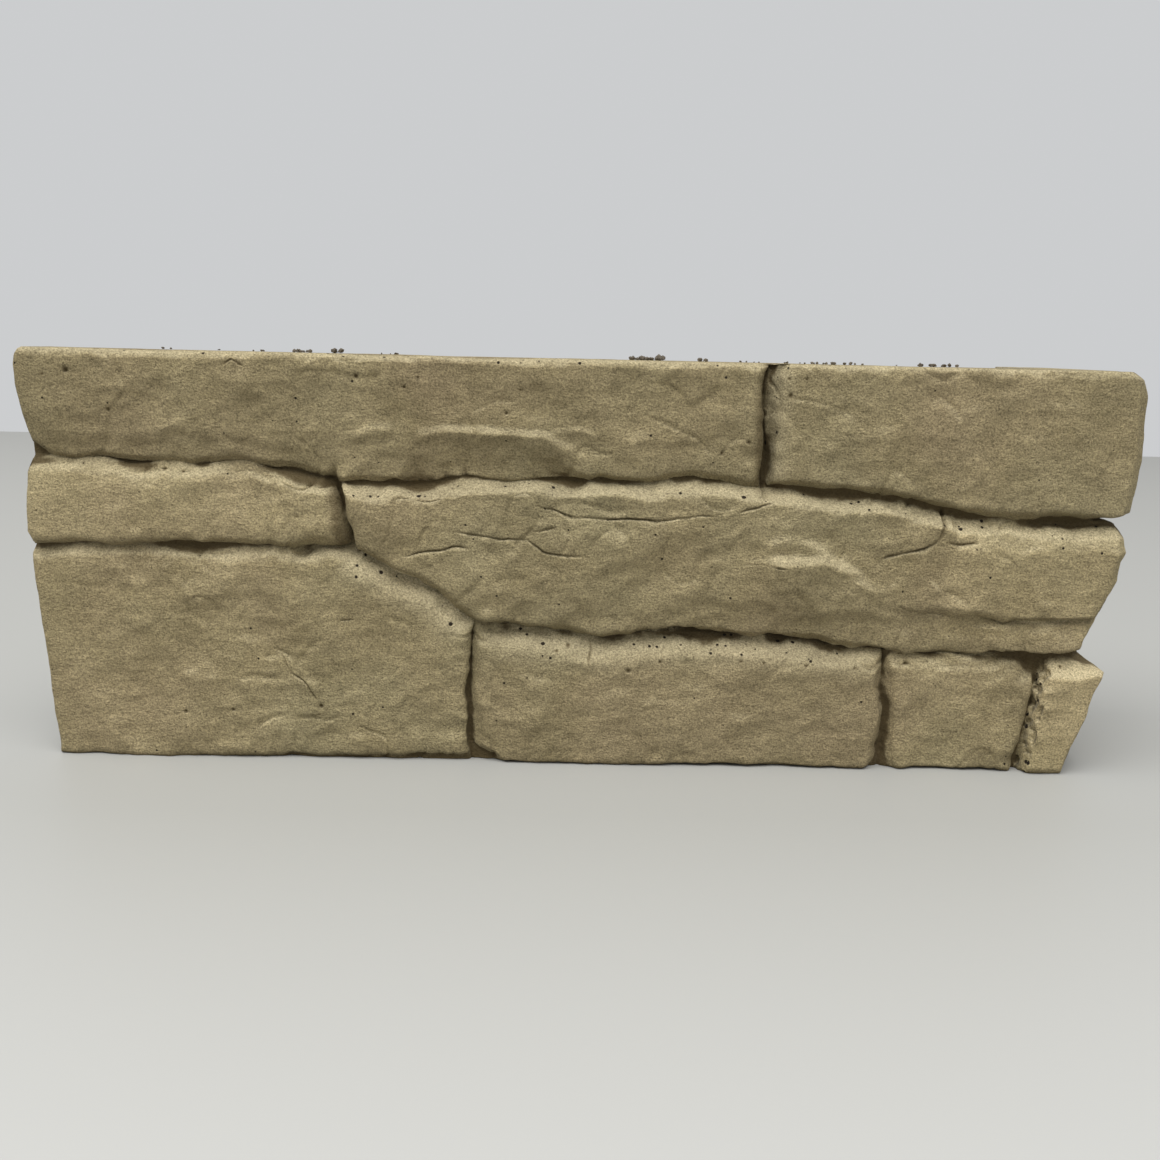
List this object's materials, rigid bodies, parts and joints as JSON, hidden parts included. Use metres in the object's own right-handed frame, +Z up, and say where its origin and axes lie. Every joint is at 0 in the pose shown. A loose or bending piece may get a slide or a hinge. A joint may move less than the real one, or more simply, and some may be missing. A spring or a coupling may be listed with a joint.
{
  "type": "stone cladding corner",
  "caption": "L-shaped corner piece of cast stone cladding, faced with rough ashlar stones and dark joints, for bonding round an outside wall corner.",
  "frame": {"origin": "middle of the bottom of the piece's box, on the bottom bed", "axes": "+X along the long leg towards the outer corner, +Y from the stone face to the wall, +Z up"},
  "size_m": [0.48, 0.1, 0.18],
  "materials": {
    "cast_stone": "matte"
  },
  "bodies": {
    "root": {"cladding_corner": "cast_stone"}
  },
  "joints": []
}
